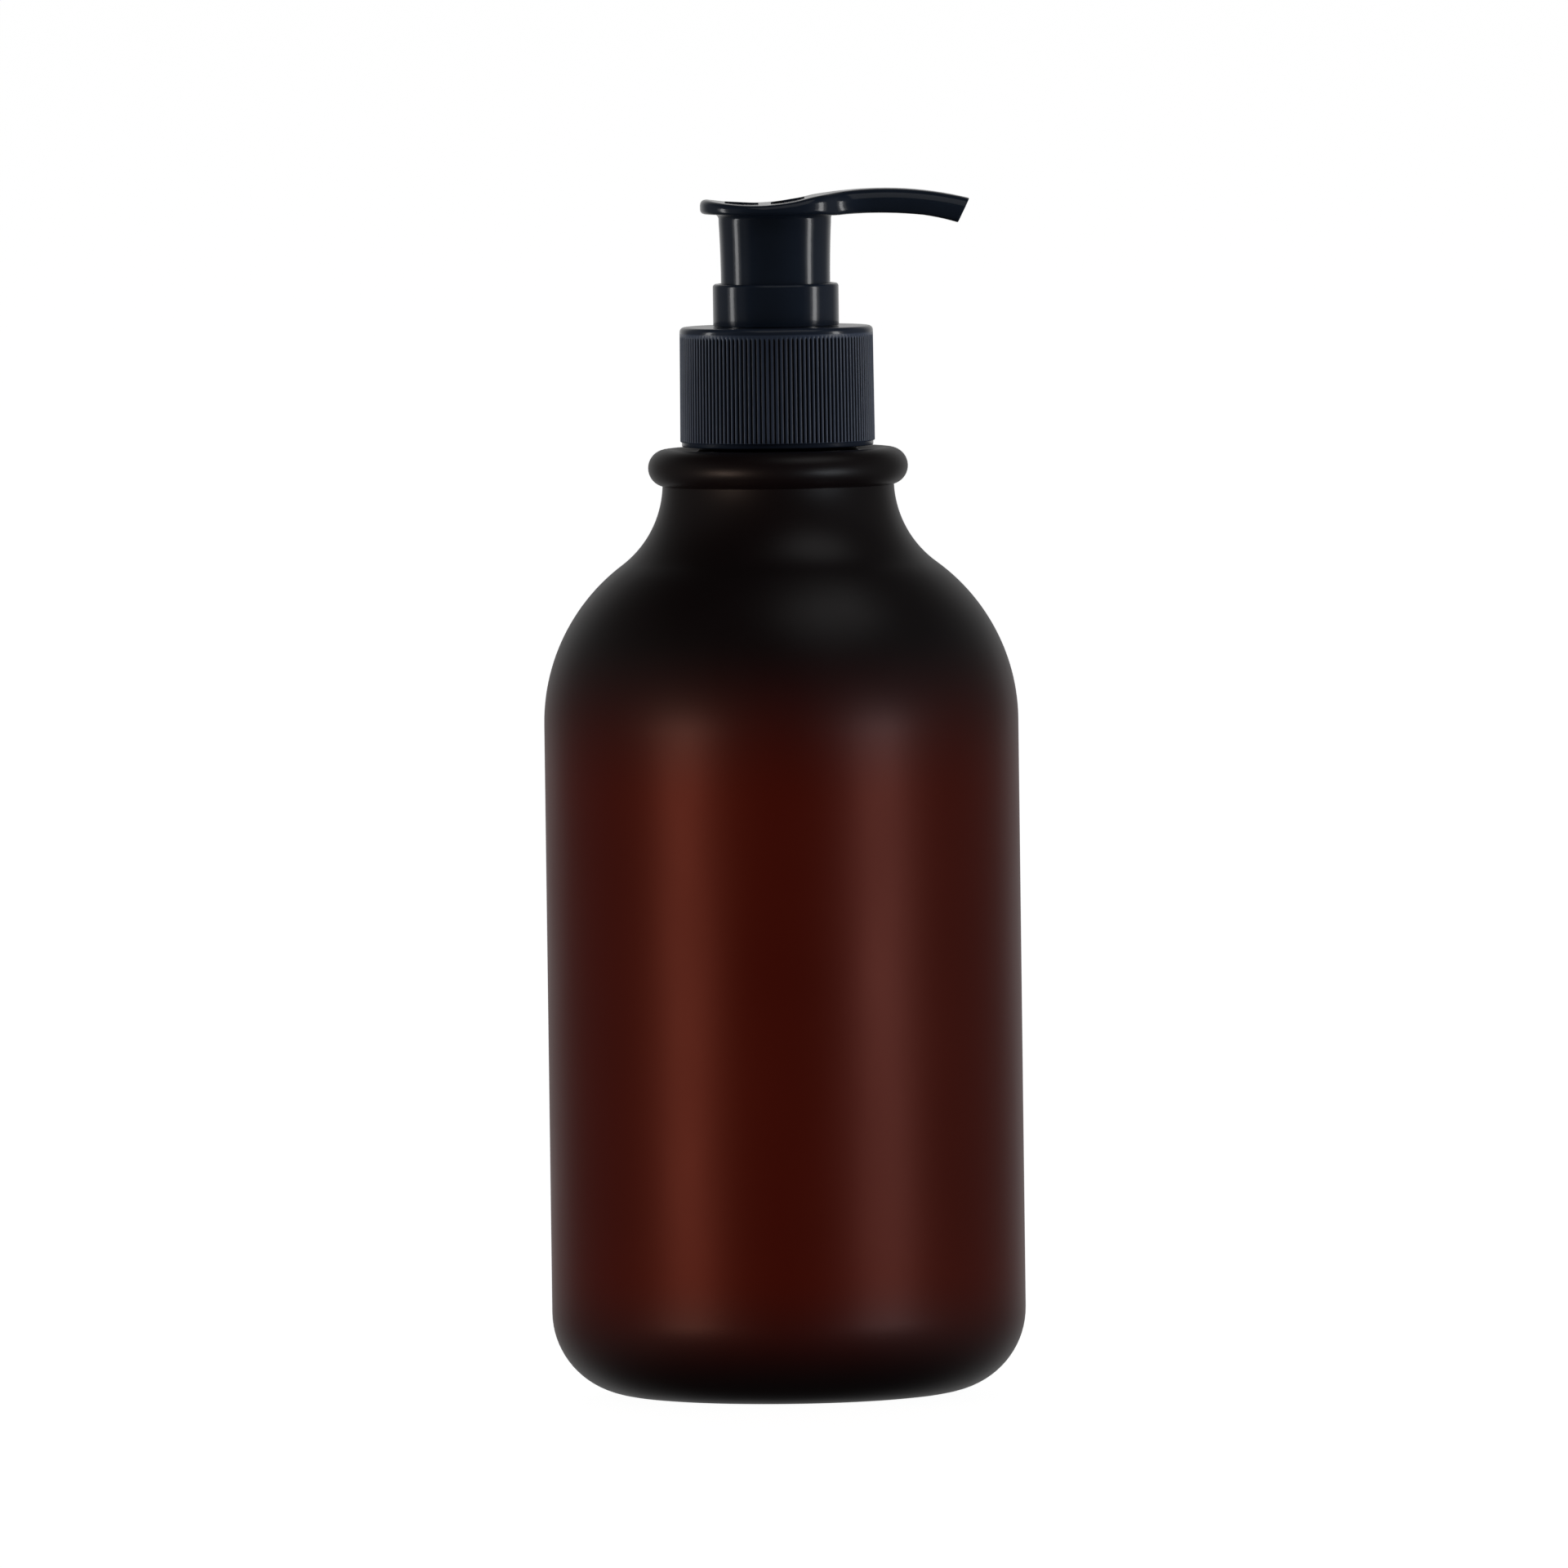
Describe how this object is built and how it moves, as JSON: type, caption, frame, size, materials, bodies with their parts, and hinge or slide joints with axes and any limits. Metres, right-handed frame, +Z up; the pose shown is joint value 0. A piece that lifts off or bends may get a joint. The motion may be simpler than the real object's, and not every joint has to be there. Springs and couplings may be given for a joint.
{
  "type": "soap pump dispenser",
  "caption": "Round-shouldered frosted amber glass bottle with a black ribbed screw closure and a sprung lotion pump with a long curved spout.",
  "frame": {"origin": "on the bottle's axis, in the plane that its foot stands on", "axes": "+Z up along the bottle's axis; +X the way the spout points; +Y completes the right-handed frame"},
  "size_m": [0.0764, 0.0762, 0.1937],
  "materials": {
    "frosted_amber_glass": "dark amber glass with a fine matt frost outside",
    "black_gloss": "smooth glossy black polypropylene",
    "black_satin": "satin black polypropylene with fine moulded ribs",
    "natural_plastic": "uncoloured, slightly milky polypropylene or polyethylene",
    "foam_gasket": "white closed-cell foam",
    "stainless_steel": "bright drawn stainless steel"
  },
  "bodies": {
    "bottle": {"bottle": "frosted_amber_glass"},
    "pump": {"housing": "natural_plastic", "lock_ring": "black_gloss", "gasket": "foam_gasket", "dip_tube": "natural_plastic", "ball_cage": "natural_plastic"},
    "closure": {"closure": "black_satin"},
    "plunger": {"spring": "stainless_steel"},
    "head": {"actuator": "black_gloss", "stem": "black_gloss", "piston_rod": "natural_plastic"},
    "piston": {"piston": "natural_plastic"},
    "inlet_ball": {"inlet_ball": "stainless_steel"}
  },
  "joints": [
    {"name": "pump_rise", "type": "slide", "parent": "bottle", "child": "pump", "axis": [0, 0, 1], "range_m": [0, 0.00741]},
    {"name": "closure_turn", "type": "hinge", "parent": "pump", "child": "closure", "pos_m": [0, 0, 0.162], "axis": [0, 0, 1], "range_deg": [0, 630]},
    {"name": "head_press", "type": "slide", "parent": "pump", "child": "plunger", "axis": [0, 0, -1], "range_m": [0, 0.01], "stiffness_N_per_m": 600, "springref_m": -0.0002, "deforming": ["spring"]},
    {"name": "head_turn", "type": "hinge", "parent": "plunger", "child": "head", "pos_m": [0, 0, 0.18], "axis": [0, 0, 1], "range_deg": [-45, 45]},
    {"name": "piston_travel", "type": "slide", "parent": "pump", "child": "piston", "axis": [0, 0, -1], "range_m": [0, 0.00886]},
    {"name": "ball_lift", "type": "slide", "parent": "pump", "child": "inlet_ball", "axis": [0, 0, 1], "range_m": [0, 0.0012]}
  ],
  "couplings": [
    {"joint": "closure_turn", "follows": "pump_rise", "rad_per_m": 1484.2},
    {"joint": "piston_travel", "follows": "head_press", "ratio": 0.885}
  ]
}
